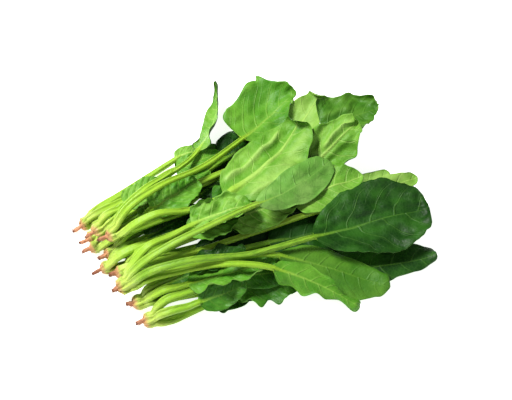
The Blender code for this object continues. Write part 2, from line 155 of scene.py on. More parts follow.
class Finish:
    """A material that is put together node by node, and then set on a piece."""

    def __init__(self, name):
        self.material = bpy.data.materials.new(name)
        self.material.use_nodes = True
        self.tree = self.material.node_tree
        self.tree.nodes.clear()
        self.output = self.tree.nodes.new("ShaderNodeOutputMaterial")

    def fill(self, socket, value):
        """Links a value to the socket, and sets a plain number or colour on it."""
        if isinstance(value, Value):
            self.tree.links.new(value.socket, socket)
        else:
            socket.default_value = value

    def node(self, kind, settings=None, sockets=None, gives=0):
        """Adds a node, and returns the socket of it that is named or numbered by gives."""
        added = self.tree.nodes.new("ShaderNode" + kind)
        for name, setting in (settings or {}).items():
            setattr(added, name, setting)
        for name, value in (sockets or {}).items():
            self.fill(added.inputs[name], value)
        return Value(self, added.outputs[gives])

    def mark(self, name):
        """What the mesh itself says at each point under that name."""
        return self.node("Attribute", {"attribute_name": name}, gives="Fac")

    def noise(self, scale, detail, roughness, stretch=(1, 1, 1)):
        """Irregular patches, the smaller the larger the scale is."""
        place = self.node("TexCoord", gives="Object")
        place = self.node("Mapping", {"vector_type": "POINT"}, {"Vector": place, "Scale": stretch})
        sockets = {"Vector": place, "Scale": scale, "Detail": detail, "Roughness": roughness}
        return self.node("TexNoise", {}, sockets)

    def band(self, value, low, high):
        """0 below low and 1 above high, with a soft step between."""
        settings = {"interpolation_type": "SMOOTHSTEP", "clamp": True}
        return self.node("MapRange", settings, {"Value": value, "From Min": low, "From Max": high})

    def mix(self, share, first, second):
        """The first colour where share is 0, and the second where it is 1."""
        return self.node("Mix", {"data_type": "RGBA"}, {0: share, 6: first, 7: second}, gives=2)

    def coat(self, base, roughness, height, bump_strength=1.0, **constants):
        """Ends the material with a Principled shader. The constants are set on its own sockets."""
        shader = self.tree.nodes.new("ShaderNodeBsdfPrincipled")
        self.fill(shader.inputs["Base Color"], base)
        self.fill(shader.inputs["Roughness"], roughness)
        bump_sockets = {"Height": height, "Distance": BUMP_DEPTH, "Strength": bump_strength}
        self.fill(shader.inputs["Normal"], self.node("Bump", {}, bump_sockets))
        for name, value in constants.items():
            shader.inputs[name.replace("_", " ")].default_value = value
        self.tree.links.new(shader.outputs[0], self.output.inputs[0])
        return self.material


def colour(red, green, blue):
    """A linear colour from screen values of 0 to 255."""
    return (*((value / 255) ** 2.2 for value in (red, green, blue)), 1)


def root_finish():
    """Pale green at the stalks, pink along the root and brown at the cut, with blotches and fine rough skin."""
    finish = Finish("root_skin")
    down = finish.mark("down_root")
    tone = finish.mark("root_tone")
    blotch = finish.noise(260.0, 4.0, 0.6)
    fibre = finish.noise(900.0, 3.0, 0.6)
    reach = down + (blotch - 0.5) * 0.35
    base = finish.mix(finish.band(reach, 0.20, 0.42), colour(150, 176, 70), colour(190, 134, 96))
    skin = finish.mix(tone, colour(206, 146, 112), colour(128, 76, 54))
    base = finish.mix(finish.band(reach, 0.45, 0.75), base, skin)
    base = finish.mix(finish.band(reach, 0.84, 1.0), base, colour(98, 56, 38))
    base = finish.mix(finish.band(blotch, 0.55, 0.70) * 0.6, base, colour(132, 78, 54))
    return finish.coat(base, 0.55 + blotch * 0.2, fibre * 0.4 + blotch, IOR=1.42)


ROOT_FINISH = root_finish()

# Over CROWN_NARROWS, as shares of its length, a crown narrows to the radius of its root. Above that it has
# CROWN_FLARE of its solid's radius more.
CROWN_SEED = 700
CROWN_ROWS = 22
CROWN_ROUND = 28
CROWN_FLARE = 0.55
CROWN_NARROWS = (0.30, 0.52)
STALK_SWELLING = 0.10
CROWN_SLICE = 0.0024
OVER_GROUND = 0.00015
ROOTLETS = 5
ROOTLET_ROWS = 6
ROOTLET_ROUND = 5
ROOTLET_BROWN = 0.86
ROOTLET_OVER_GROUND = 0.0005
ROOT_WIDEST = 0.0017

# For each plant: how dark its root is, which share of its solid's length it has, and how stout it is
ROOT_TONES = (0.0, 0.15, 0.25, 0.4, 0.5, 0.6, 1.0, 0.8, 0.6, 0.6, 0.5)
ROOT_CUT_SHORT = (1.0, 1.0, 1.0, 1.0, 0.94, 0.88, 1.0, 0.84, 0.80, 0.82, 0.90)
ROOT_STOUT = (1.0, 1.0, 1.0, 1.15, 1.25, 1.25, 1.0, 1.35, 1.45, 1.45, 1.25)


def welded(node):
    """The node's points, with those of touching triangles made one, and its triangles."""
    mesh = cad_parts[node].data
    mesh.calc_loop_triangles()
    spots = np.empty(len(mesh.vertices) * 3)
    mesh.vertices.foreach_get("co", spots)
    corners = np.empty(len(mesh.loop_triangles) * 3, int)
    mesh.loop_triangles.foreach_get("vertices", corners)
    points, same = np.unique(np.round(spots.reshape(-1, 3), 7), axis=0, return_inverse=True)
    return points, same.reshape(-1)[corners].reshape(-1, 3)


def add_piece(name, points, faces, finish, marks, node):
    """Makes a smooth piece that stands for the node, with a named number at each of its points."""
    mesh = bpy.data.meshes.new(name)
    mesh.from_pydata(points.tolist(), [], faces)
    mesh.materials.append(finish)
    mesh.polygons.foreach_set("use_smooth", [True] * len(mesh.polygons))
    for mark, values in marks.items():
        stored = mesh.attributes.new(mark, "FLOAT", "POINT").data
        stored.foreach_set("value", np.asarray(values, float).ravel())
    mesh.validate()
    piece = bpy.data.objects.new(name, mesh)
    bpy.context.scene.collection.objects.link(piece)
    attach(piece, "root")
    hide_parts(node)


def step_up(value, low, high):
    """0 below low, 1 above high, and a soft step between."""
    share = np.clip((value - low) / (high - low), 0, 1)
    return share * share * (3 - 2 * share)


def rings_joined(rows, round_count, first=0):
    """The quads between that many closed rings of points, one ring after the other."""
    faces = []
    for row in range(rows - 1):
        for k in range(round_count):
            here = first + row * round_count + k
            beside = first + row * round_count + (k + 1) % round_count
            faces.append((here, beside, beside + round_count, here + round_count))
    return faces


def closed_rings(rows, round_count):
    """The faces of rings that are joined and closed at both ends, round the two points that follow them."""
    faces = rings_joined(rows, round_count)
    first_end = rows * round_count
    last_ring = first_end - round_count
    for k in range(round_count):
        beside = (k + 1) % round_count
        faces.append((first_end, beside, k))
        faces.append((first_end + 1, last_ring + k, last_ring + beside))
    return faces


def crown_frame(node):
    """The crown's points, where its axis starts at the stalks, the axis towards the cut, and its length."""
    points, _ = welded(node)
    middle = points.mean(0)
    axis = np.linalg.svd(points - middle)[2][0]
    axis /= np.linalg.norm(axis)
    down = (points - middle) @ axis
    radial = np.linalg.norm(points - middle - np.outer(down, axis), axis=1)
    if radial[down > 0].mean() > radial[down < 0].mean():
        axis = -axis
        down = -down
    start = down.min()
    length = down.max() - start
    return points, middle + axis * start, axis, length


def crown_rings(number, points, start, axes, length, rng):
    """Rings of points down the crown and its root, swollen under each stalk and rougher towards the cut."""
    axis, side, up = axes
    offsets = points - start
    depth = offsets @ axis
    radial = np.hypot(offsets @ side, offsets @ up)
    stalks = sum(name.startswith(f"plant_{number:02d}_leaf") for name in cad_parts)
    swellings = max(4, stalks + 1)
    turn = rng.uniform(0, 2 * math.pi)
    angles = np.linspace(0, 2 * math.pi, CROWN_ROUND, endpoint=False)
    root_wide = ROOT_WIDEST * ROOT_STOUT[number - 1]
    grid = []
    for share in np.linspace(0, 1, CROWN_ROWS):
        at = share * length
        near = np.abs(depth - at) < CROWN_SLICE
        radius = radial[near].max() if near.any() else radial[np.argmin(np.abs(depth - at))]
        radius = min(radius, root_wide + CROWN_FLARE * radius * (1 - step_up(share, *CROWN_NARROWS)))
        lump = 1 + STALK_SWELLING * (1 - share) ** 0.7 * np.cos(swellings * angles + turn + 1.5 * share)
        skin = 0.04 * rng.normal(size=CROWN_ROUND) * (0.3 + share)
        rough = 1 + 0.05 * np.cos(3 * angles + 9 * share + turn) + skin
        bend = side * 0.0009 * math.sin(3 * share + turn) + up * 0.0007 * math.sin(4 * share + number)
        reach = radius * lump * rough
        ring = start + axis * at + bend + np.outer(reach * np.cos(angles), side)
        grid.append(ring + np.outer(reach * np.sin(angles), up))
    grid = np.array(grid)
    torn = axis * rng.uniform(-0.0004, 0.0004, (CROWN_ROUND, 1))
    grid[0] = grid[0].mean(0) + (grid[0] - grid[0].mean(0)) * 0.7
    grid[-1] = grid[-1].mean(0) + (grid[-1] - grid[-1].mean(0)) * 0.8 + torn
    grid[:, :, 2] = np.maximum(grid[:, :, 2], OVER_GROUND)
    return grid


def rootlet(start, axes, length, rng):
    """Rings of points along a curled rootlet, which is broken off short."""
    axis, side, up = axes
    share = rng.uniform(0.55, 0.97)
    angle = rng.uniform(0, 2 * math.pi)
    outward = side * math.cos(angle) + up * math.sin(angle)
    origin = start + axis * share * length + outward * 0.0010
    heading = axis * rng.uniform(0.5, 1.1) + outward * rng.uniform(0.3, 0.9) - np.array((0, 0, 0.15))
    reach = rng.uniform(0.0022, 0.0058)
    curl = rng.normal(size=3) * 0.35
    thick = rng.uniform(0.00030, 0.00055)
    turns = np.linspace(0, 2 * math.pi, ROOTLET_ROUND, endpoint=False)
    rings = []
    for step in np.linspace(0, 1, ROOTLET_ROWS):
        spot = origin + (heading * step + curl * step**2) * reach
        spot[2] = max(spot[2], ROOTLET_OVER_GROUND)
        spread = thick * (1 - 0.75 * step)
        rings.append([spot + spread * (math.cos(a) * side + math.sin(a) * up) for a in turns])
    return np.concatenate(rings)


def add_crown(node):
    """A lumpy crown with one swelling for each stalk, tapering into the cut root, and its broken rootlets."""
    number = int(node.split("_")[1])
    rng = np.random.default_rng(CROWN_SEED + number)
    points, start, axis, length = crown_frame(node)
    length = length * ROOT_CUT_SHORT[number - 1]
    side = np.cross((0, 0, 1), axis)
    side /= np.linalg.norm(side)
    axes = (axis, side, np.cross(axis, side))
    grid = crown_rings(number, points, start, axes, length, rng)
    faces = [face[::-1] for face in closed_rings(CROWN_ROWS, CROWN_ROUND)]
    ends = np.array([grid[0].mean(0) - axis * 0.0003, grid[-1].mean(0) - axis * 0.0004])
    parts = [grid.reshape(-1, 3), ends]
    down_root = [np.repeat(np.linspace(0, 1, CROWN_ROWS), CROWN_ROUND), [0.0, 1.0]]
    points_each = ROOTLET_ROWS * ROOTLET_ROUND
    for hair in range(ROOTLETS):
        first = CROWN_ROWS * CROWN_ROUND + 2 + hair * points_each
        parts.append(rootlet(start, axes, length, rng))
        faces += [face[::-1] for face in rings_joined(ROOTLET_ROWS, ROOTLET_ROUND, first)]
        faces.append(tuple(range(first + points_each - ROOTLET_ROUND, first + points_each)))
        down_root.append(np.full(points_each, ROOTLET_BROWN))
    down_root = np.concatenate(down_root)
    marks = {"down_root": down_root, "root_tone": np.full(len(down_root), ROOT_TONES[number - 1])}
    add_piece(node + "_dressed", np.concatenate(parts), faces, ROOT_FINISH, marks, node)


for node_name in sorted(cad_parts):
    if node_name.endswith("crown"):
        add_crown(node_name)


# The leaves
# A leaf is one piece: a juicy grooved stalk, which clasps the crown with its base, runs on as the midrib of a
# thin blade. The blade puffs up between its sunken side veins, its margin waves, and its top side is darker and
# glossier than its pale, ribbed underside.

ROWS_ON_STALK = 30
ROWS_ON_BLADE = 84
ROWS = ROWS_ON_STALK + ROWS_ON_BLADE
ACROSS_COUNT = 41
CENTRE = ACROSS_COUNT // 2

# The solid's own rings: how many there are, the points on each, the first and last on the wide part of the blade,
# how many are on the stalk, and where the points of one skin lie between its margins
CAGE_ROWS = 14
CAGE_ROUND = 10
FIRST_WIDE, LAST_WIDE = 6, 12
STALK_RINGS = 5
CAGE_ACROSS = np.array((-1.0, -0.52, 0.0, 0.52, 1.0))
SKIN_POINTS = len(CAGE_ACROSS)
SKIN_MIDDLE = SKIN_POINTS // 2

# Rings that carry the stalk on over the crown: share of the crown's length, how far out, width and thickness
CLASP = ((0.40, 0.34, 0.9, 0.8), (0.30, 0.78, 1.25, 1.0), (0.14, 1.0, 1.25, 1.1))
BLADE_ROW = STALK_RINGS + len(CLASP)

# How the leaves lie: the fine grid of the heap, the most that one is lifted, how often its lift is softened, the
# air between two, how far up the stalk a leaf is free to move, and how low its skins may lie over the floor
HEAP_CELL = 0.001
HEAP_SIDE = 0.6
LIFT_CAP = 0.0030
LIFT_SOFTENINGS = 6
PIECE_GAP = 0.00025
FREE_FROM_CROWN = (0.030, 0.060)
LEAST_TOP = 0.0008
LEAST_UNDERSIDE = 0.0003

# Thicknesses and heights of what is seen on one leaf
LAMINA = 0.00050
STALK_EDGE = 0.00030
THINNEST_RIB = 0.00045
STALK_RIDGES = 0.00012
PUFF_HEIGHT = 0.0011
SMALL_SWELL = 0.00030
LARGE_SWELL = 0.0006
MARGIN_WAVE = 0.0013
PLEAT_WIDTH = 0.015
MARGIN_TURN = 2.4
FOLD_HEIGHT = 0.004
FOLD_WANDER = 0.0009
FOLD_ENDS = 0.15


def smooth(knots, values, at):
    """A smooth curve through values at the knots, read at other places along it."""
    gaps = np.diff(knots)
    spread = (slice(None),) + (None,) * (values.ndim - 1)
    slopes = np.diff(values, axis=0) / gaps[spread]
    tangents = np.empty_like(values)
    tangents[0] = slopes[0]
    tangents[-1] = slopes[-1]
    weight = (gaps[:-1] / (gaps[:-1] + gaps[1:]))[spread]
    tangents[1:-1] = slopes[:-1] * (1 - weight) + slopes[1:] * weight
    span = np.clip(np.searchsorted(knots, at, side="right") - 1, 0, len(knots) - 2)
    gap = gaps[span][spread]
    u = ((at - knots[span]) / gaps[span])[spread]
    return (
        values[span] * (2 * u**3 - 3 * u**2 + 1)
        + tangents[span] * gap * (u**3 - 2 * u**2 + u)
        + values[span + 1] * (3 * u**2 - 2 * u**3)
        + tangents[span + 1] * gap * (u**3 - u**2)
    )


def cage_of(node):
    """The leaf's packed rings as (row, across) points of its upper and lower skins, and its tip."""
    points, triangles = welded(node)
    near = [set() for _ in points]
    for a, b, c in triangles.tolist():
        near[a] |= {b, c}
        near[b] |= {a, c}
        near[c] |= {a, b}
    crown = sum(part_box(node[:9] + "crown"), Vector()) / 2
    ends = [v for v in range(len(points)) if len(near[v]) == CAGE_ROUND]
    ends.sort(key=lambda v: np.linalg.norm(points[v] - np.array(crown)))
    base, tip = ends[0], ends[-1]
    level = {base}
    seen = {base}
    rings = []
    for _ in range(CAGE_ROWS):
        level = set().union(*(near[v] for v in level)) - seen
        seen |= level
        first = min(level)
        order = [first]
        while len(order) < CAGE_ROUND:
            ahead = [v for v in sorted(near[order[-1]] & level) if v not in order]
            order.append(ahead[0])
        if rings:
            choices = []
            for way in (order, order[::-1]):
                for shift in range(CAGE_ROUND):
                    turned = way[shift:] + way[:shift]
                    misses = sum(b not in near[a] for a, b in zip(rings[-1], turned))
                    apart = sum(np.linalg.norm(points[a] - points[b]) for a, b in zip(rings[-1], turned))
                    choices.append((misses, apart, turned))
            order = min(choices)[2]
        rings.append(order)
    rings = points[np.array(rings)]
    wide = rings[FIRST_WIDE:LAST_WIDE + 1]
    edges = np.linalg.norm(wide - np.roll(wide, -1, axis=1), axis=2).mean(0)
    margin = int(np.argmin(edges[:SKIN_POINTS] + edges[SKIN_POINTS:]))
    rings = np.roll(rings, SKIN_POINTS - 1 - margin, axis=1)
    best = []
    for way in (rings, rings[:, ::-1]):
        for half in (0, SKIN_POINTS):
            turned = np.roll(way, half, axis=1)
            upper = turned[:, :SKIN_POINTS]
            lower = turned[:, :SKIN_POINTS - 1:-1]
            rise = (upper - lower)[FIRST_WIDE:LAST_WIDE, 1:-1].mean((0, 1))
            along = turned[LAST_WIDE].mean(0) - turned[FIRST_WIDE].mean(0)
            leftward = (upper[:, -1] - upper[:, 0])[FIRST_WIDE:LAST_WIDE].mean(0)
            handed = np.dot(np.cross(along, leftward), rise)
            best.append((handed > 0, rise[2], upper, lower))
    _, _, upper, lower = max(best, key=lambda choice: choice[:2])
    return upper, lower, points[tip]


def ripple(x, y, seed, longest, shortest, count):
    """A fixed irregular swell, about 1 high and deep, that is the sum of that many waves of those lengths."""
    rng = np.random.default_rng(seed)
    total = np.zeros(np.broadcast(x, y).shape)
    for _ in range(count):
        length = rng.uniform(shortest, longest)
        angle = rng.uniform(0, math.pi)
        phase = rng.uniform(0, 2 * math.pi)
        total += np.sin((x * math.cos(angle) + y * math.sin(angle)) * 2 * math.pi / length + phase)
    return total / math.sqrt(count)


class Heap:
    """How high the pieces laid so far reach over the table, on a fine grid."""

    def __init__(self):
        self.count = int(HEAP_SIDE / HEAP_CELL)
        self.tops = np.zeros((self.count, self.count))

    def cells(self, points):
        """The grid's cell that each point is in."""
        spots = ((points[..., :2] + HEAP_SIDE / 2) / HEAP_CELL).astype(int)
        return np.clip(spots, 1, self.count - 2)

    def under(self, points):
        """How high the heap is in the cells at and round each point."""
        spots = self.cells(points)
        highest = np.zeros(points.shape[:-1])
        for aside in (-1, 0, 1):
            for ahead in (-1, 0, 1):
                highest = np.maximum(highest, self.tops[spots[..., 0] + aside, spots[..., 1] + ahead])
        return highest

    def lay(self, points):
        """Takes in a grid of points, each cell of it filled at 3 by 3 places."""
        for u in (0, 1 / 3, 2 / 3):
            for v in (0, 1 / 3, 2 / 3):
                spots = (
                    points[:-1, :-1] * (1 - u) * (1 - v) + points[1:, :-1] * u * (1 - v)
                    + points[:-1, 1:] * (1 - u) * v + points[1:, 1:] * u * v
                )
                cells = self.cells(spots)
                np.maximum.at(self.tops, (cells[..., 0], cells[..., 1]), spots[..., 2])


def leaf_finish(name, deep, fresh, vein, stalk, far, roughness, contrast, raised=-1.0, rib_fade=0.9):
    """A blade in two greens with paler veins, its far side in one, and a stalk that pales towards the root.
    Its creases carry a painted highlight along their ridges and painted shade in their hollows.
    """
    finish = Finish(name)
    phase = finish.mark("phase")
    gap = finish.mark("vein_gap")
    margin = finish.mark("margin")
    share = finish.mark("share")
    rib = finish.mark("rib")
    up_stalk = finish.mark("up_stalk")
    far_side = finish.mark("far_side")
    fold = finish.mark("fold")
    place = finish.node("TexCoord", gives="Object")
    clouds = finish.noise(38.0, 3.0, 0.55)
    patches = finish.noise(120.0, 2.0, 0.5)
    grain = finish.noise(620.0, 3.0, 0.6)
    net = finish.node(
        "TexVoronoi", {"feature": "DISTANCE_TO_EDGE"},
        {"Vector": place, "Scale": 300.0, "Randomness": 1.0}, gives="Distance",
    )

    def line(crossing, width):
        """1 on each whole number of the crossing, and 0 that width away from it."""
        nearest = finish.node("Math", {"operation": "ROUND"}, {0: crossing})
        return 1 - finish.band(abs(crossing - nearest) * gap, width * 0.25, width)

    swayed = phase + (patches - 0.5) * 0.10
    side_vein = line(swayed, 0.00125 - margin * 0.0006)
    forked = line(swayed * 2.0 + margin * 0.35, 0.0013) * finish.band(margin, 0.30, 0.60)
    veins = finish.node("Math", {"operation": "MAXIMUM"}, {0: side_vein, 1: forked * 0.45})
    veins = veins * (1 - finish.band(margin, 0.72, 1.0)) * finish.band(share, 0.0, 0.05)
    net_line = 1 - finish.band(net, 0.02, 0.14)
    green = finish.mix(finish.band(clouds + (share - 0.5) * -0.12, 0.34, 0.66), deep, fresh)
    green = finish.mix(finish.band(patches, 0.50, 0.72) * 0.25, green, fresh)
    # Painted highlight on the ridges of the creases, in the vein colour, and painted shade in their hollows, in
    # the deep green
    green = finish.mix(finish.band(fold, 0.10, 1.0) * 0.55, green, vein)
    green = finish.mix(finish.band(fold * -1.0, 0.05, 0.8) * 0.75, green, deep)
    green = finish.mix(far_side, green, far)
    green = finish.mix((veins * 0.34 + net_line * 0.08) * contrast, green, vein)
    stem = finish.mix(finish.band(up_stalk, 0.001, 0.0065), colour(184, 134, 94), colour(172, 194, 88))
    stem = finish.mix(finish.band(up_stalk, 0.008, 0.034), stem, stalk)
    stem = finish.mix(finish.band(clouds, 0.40, 0.70) * 0.30, stem, colour(170, 204, 72))
    stem = finish.mix(finish.band(share, 0.0, 0.3) * rib_fade, stem, vein)
    streaks = finish.noise(900.0, 2.0, 0.5, stretch=(0.10, 1, 1))
    stem = finish.mix(finish.band(streaks, 0.45, 0.72) * 0.35, stem, fresh)
    base = finish.mix(rib, green, stem)
    height = net * -0.8 + grain * 0.30 + veins * (raised * 0.9) + streaks * rib * 0.5
    rough = roughness + (clouds - 0.5) * 0.10 + net_line * 0.05 - rib * 0.08
    return finish.coat(base, rough, height, bump_strength=0.7, IOR=1.40, Specular_IOR_Level=0.32)


# For each: its greens, its veins, its stalk and its far side, then how matt it is, how much its veins show,
# whether they stand up or are sunken, and how much the midrib takes their colour towards the tip
LEAF_FINISHES = {
    "light": leaf_finish(
        "light_leaf", colour(82, 138, 36), colour(114, 164, 60), colour(168, 204, 108),
        colour(140, 182, 52), colour(44, 88, 26), 0.50, 0.9, 1.0, 0.7,
    ),
    "pale": leaf_finish(
        "pale_leaf", colour(110, 156, 58), colour(140, 180, 84), colour(168, 198, 112),
        colour(140, 182, 52), colour(60, 110, 36), 0.52, 0.4, 1.0, 0.6,
    ),
    "mid": leaf_finish(
        "mid_leaf", colour(66, 126, 30), colour(94, 150, 46), colour(136, 180, 76),
        colour(136, 178, 48), colour(112, 158, 64), 0.46, 0.9, -1.0, 0.75,
    ),
    "green": leaf_finish(
        "green_leaf", colour(44, 96, 22), colour(70, 126, 36), colour(112, 158, 62),
        colour(126, 170, 46), colour(104, 150, 60), 0.44, 0.6,
    ),
    "soft": leaf_finish(
        "soft_leaf", colour(58, 108, 28), colour(82, 130, 40), colour(102, 148, 56),
        colour(126, 170, 46), colour(104, 150, 60), 0.48, 0.35,
    ),
    "dark": leaf_finish(
        "dark_leaf", colour(20, 56, 12), colour(42, 88, 24), colour(84, 130, 52),
        colour(112, 156, 44), colour(84, 128, 52), 0.48, 0.8,
    ),
    # Painted shade: a darker copy of the dark greens, for leaves that lie low in the heap under the others
    "shade": leaf_finish(
        "shaded_leaf", colour(16, 48, 10), colour(30, 72, 16), colour(56, 98, 34),
        colour(104, 150, 42), colour(60, 100, 40), 0.50, 0.5,
    ),
    "grey": leaf_finish(
        "smooth_leaf", colour(92, 144, 58), colour(126, 172, 84), colour(128, 174, 84),
        colour(128, 170, 50), colour(104, 146, 70), 0.44, 0.2,
    ),
}

# From the bottom of the heap to its top: plant and letter, finish, side that shows, crinkle, ruffle, vein count
LEAF_LOOKS = (
    ("02_leaf_a", "green", "top", 0.6, 0.6, 6),
    ("05_leaf_a", "shade", "top", 0.4, 0.3, 6),
    ("06_leaf_a", "shade", "top", 0.4, 0.3, 6),
    ("07_leaf_a", "shade", "top", 0.4, 0.3, 6),
    ("08_leaf_a", "shade", "top", 0.4, 0.3, 6),
    ("10_leaf_a", "shade", "top", 0.4, 0.3, 6),
    ("11_leaf_a", "dark", "top", 0.5, 0.5, 6),
    ("06_leaf_c", "dark", "top", 1.0, 0.6, 6),
    ("06_leaf_d", "dark", "top", 1.2, 0.8, 6),
    ("07_leaf_c", "dark", "top", 1.0, 0.8, 6),
    ("07_leaf_d", "dark", "top", 0.9, 0.8, 6),
    ("10_leaf_f", "green", "top", 0.9, 0.8, 6),
    ("10_leaf_e", "dark", "top", 0.6, 0.7, 6),
    ("02_leaf_b", "shade", "top", 0.8, 0.7, 6),
    ("01_leaf_a", "mid", "top", 0.8, 0.6, 6),
    ("01_leaf_b", "light", "under", 0.8, 0.8, 5),
    ("01_leaf_c", "mid", "top", 0.8, 0.8, 6),
    ("11_leaf_b", "green", "top", 0.8, 0.8, 6),
    ("02_leaf_c", "pale", "under", 1.0, 1.2, 5),
    ("05_leaf_b", "soft", "top", 1.3, 1.6, 5),
    ("08_leaf_d", "shade", "top", 0.6, 0.5, 6),
    ("08_leaf_b", "pale", "under", 0.4, 0.3, 6),
    ("08_leaf_c", "pale", "under", 0.4, 0.3, 6),
    ("05_leaf_c", "light", "under", 1.4, 1.4, 5),
    ("07_leaf_b", "light", "under", 0.6, 0.5, 6),
    ("08_leaf_e", "light", "top", 1.4, 0.8, 6),
    ("06_leaf_b", "green", "top", 1.2, 0.8, 6),
    ("10_leaf_b", "green", "top", 0.8, 0.8, 6),
    ("11_leaf_c", "green", "top", 0.7, 0.7, 5),
    ("11_leaf_d", "green", "top", 0.7, 0.7, 5),
    ("11_leaf_e", "green", "top", 0.7, 0.7, 5),
    ("10_leaf_c", "mid", "top", 1.1, 1.0, 7),
    ("10_leaf_d", "dark", "top", 0.8, 0.8, 6),
    ("03_leaf_a", "light", "top", 1.4, 0.9, 6),
    ("03_leaf_b", "light", "top", 1.5, 0.9, 6),
    ("04_leaf_a", "mid", "top", 1.6, 0.9, 6),
    ("04_leaf_b", "light", "top", 0.7, 0.6, 7),
    ("04_leaf_c", "mid", "top", 1.0, 0.9, 5),
    ("04_leaf_d", "light", "under", 1.2, 1.3, 5),
    ("09_leaf_a", "soft", "top", 0.4, 0.4, 7),
    ("09_leaf_b", "mid", "top", 1.4, 1.2, 5),
    ("09_leaf_c", "light", "under", 1.4, 2.0, 5),
    ("09_leaf_d", "mid", "top", 0.6, 1.0, 6),
    ("09_leaf_e", "grey", "top", 0.35, 0.3, 5),
    ("09_leaf_f", "dark", "top", 0.9, 0.6, 5),
)


SHAPE_DEFAULTS = ((0, 1, 0), (0, 1), (0, 1), 0, (), 1, 0, 1, ())
Shape = namedtuple("Shape", "tip left right jag lobes puffed pleats stout creases", defaults=SHAPE_DEFAULTS)

# Where the tip rolls up: length, radius, most turn in radians. Where a margin rolls up: width, radius. Jag is
# how deep the small notches are. Lobes stand out from the margin: side (1 left, -1 right), place along the blade,
# width, reach as a share of the half width. A reach below 0 draws the margin in. Puffed makes the broad swells
# deeper, pleats are long folds beside the midrib, of that height, and stout is how much wider and thicker than
# usual the midrib is. A crease is a ridge along the blade, or a hollow where its height is below 0: how far to
# the left of the midrib, where it starts and ends along the blade, its width and its height. Ridges get a painted
# highlight in the colour of the veins, and hollows get painted shade in the deeper green.
LEAF_SHAPES = {
    "04_leaf_c": Shape(
        right=(0.005, 0.004), puffed=1.2, pleats=0.0004, stout=1.3,
        lobes=((1, 0.72, 0.22, 0.40), (1, 0.77, 0.040, 0.34), (-1, 0.85, 0.2, -0.35)),
    ),
    # Its high ridge on the left gets a painted highlight, and the hollow between it and the midrib gets painted
    # shade.
    "04_leaf_d": Shape(
        tip=(0.016, 0.0050, 2.3), left=(0.004, 0.0045), right=(0.005, 0.004),
        jag=0.01, puffed=1.3, pleats=0.0004, stout=2.4,
        lobes=((1, 0.95, 0.16, -0.25), (-1, 0.97, 0.10, -0.15)),
        creases=(
            (0.0150, 0.02, 0.85, 0.0030, 0.0050), (0.0070, 0.40, 0.95, 0.0040, -0.0015),
            (-0.0140, 0.05, 0.95, 0.0090, 0.0026), (-0.0210, 0.05, 0.60, 0.0028, 0.0026),
        ),
    ),
    "02_leaf_c": Shape(tip=(0.011, 0.0034, 2.4), right=(0.006, 0.005)),
    "05_leaf_b": Shape(
        tip=(0.008, 0.0030, 2.0), left=(0.007, 0.0040), right=(0.006, 0.004), jag=0.04,
        lobes=((1, 0.42, 0.12, -0.22), (-1, 0.80, 0.30, -0.30)),
        creases=((-0.0080, 0.05, 0.80, 0.0060, -0.0030), (0.0100, 0.0, 0.60, 0.0050, 0.0030)),
    ),
    "05_leaf_c": Shape(
        tip=(0.006, 0.0030, 1.6), right=(0.010, 0.0045), jag=0.05, puffed=1.5, pleats=0.0012,
        creases=(
            (-0.0130, 0.0, 0.80, 0.0100, -0.0042), (0.0060, 0.30, 1.0, 0.0035, 0.0035),
            (0.0130, 0.10, 0.55, 0.0035, -0.0025),
        ),
    ),
    "09_leaf_c": Shape(left=(0.006, 0.0040), right=(0.005, 0.004), jag=0.12, puffed=1.6, pleats=0.0014),
    "09_leaf_b": Shape(left=(0.004, 0.0040), jag=0.10, puffed=1.5),
    "09_leaf_d": Shape(left=(0.004, 0.0035), right=(0.005, 0.004), jag=0.08),
    "10_leaf_c": Shape(left=(0.004, 0.0035), right=(0.004, 0.004), jag=0.12),
    "09_leaf_e": Shape(
        left=(0.003, 0.0040), right=(0.003, 0.004), stout=0.5,
        creases=((0.003, 0.35, 0.95, 0.0025, -0.0008),),
    ),
    "08_leaf_b": Shape(lobes=((1, 0.75, 0.5, -0.40), (-1, 0.75, 0.5, -0.40))),
    "08_leaf_c": Shape(lobes=((1, 0.80, 0.5, -0.30), (-1, 0.80, 0.5, -0.30))),
    # Its wide hollow on the right dips the blade and paints there the shadow of the leaf that lies over it.
    "09_leaf_a": Shape(
        lobes=((1, 0.74, 0.34, -0.34), (-1, 0.95, 0.14, -0.25)),
        creases=((0.002, 0.10, 0.95, 0.0030, -0.0008), (-0.0130, 0.0, 0.70, 0.0075, -0.0022)),
    ),
    "09_leaf_f": Shape(tip=(0.007, 0.0060, 0.8), right=(0.003, 0.004), jag=0.02, puffed=1.5, pleats=0.0006),
    "10_leaf_e": Shape(tip=(0.010, 0.0040, 2.0), left=(0.005, 0.0040), lobes=((-1, 0.80, 0.42, -0.40),)),
    "04_leaf_b": Shape(
        lobes=((1, 0.86, 0.13, -0.4), (-1, 0.86, 0.13, -0.4), (1, 0.14, 0.16, -0.45), (-1, 0.14, 0.16, -0.35)),
    ),
}


def clasping(node, upper, lower):
    """Carries the stalk's rings on over the side of its crown, to where the root starts."""
    _, start, axis, length = crown_frame(node[:9] + "crown")
    centre = (upper[0, SKIN_MIDDLE] + lower[0, SKIN_MIDDLE]) / 2
    depth = (centre - start) @ axis
    outward = centre - start - axis * depth
    rows = []
    for share, reach, width, thick in CLASP:
        place = start + axis * length * share + outward * reach
        ring = [(side[0] - centre) for side in (upper, lower)]
        flat = (ring[0] + ring[1]) / 2
        rows.append([place + flat * width + (side - flat) * thick for side in ring])
    upper = np.concatenate([[row[0] for row in rows], upper])
    lower = np.concatenate([[row[1] for row in rows], lower])
    return upper, lower


def rolled(distance, radius, most):
    """How far forward and up a strip moves that rolls up from where distance is 0, compared to lying flat."""
    distance = np.maximum(distance, 0)
    angle = np.minimum(distance / radius, most)
    rest = distance - angle * radius
    forward = radius * np.sin(angle) + rest * np.cos(angle) - distance
    return forward[..., None], (radius * (1 - np.cos(angle)) + rest * np.sin(angle))[..., None]


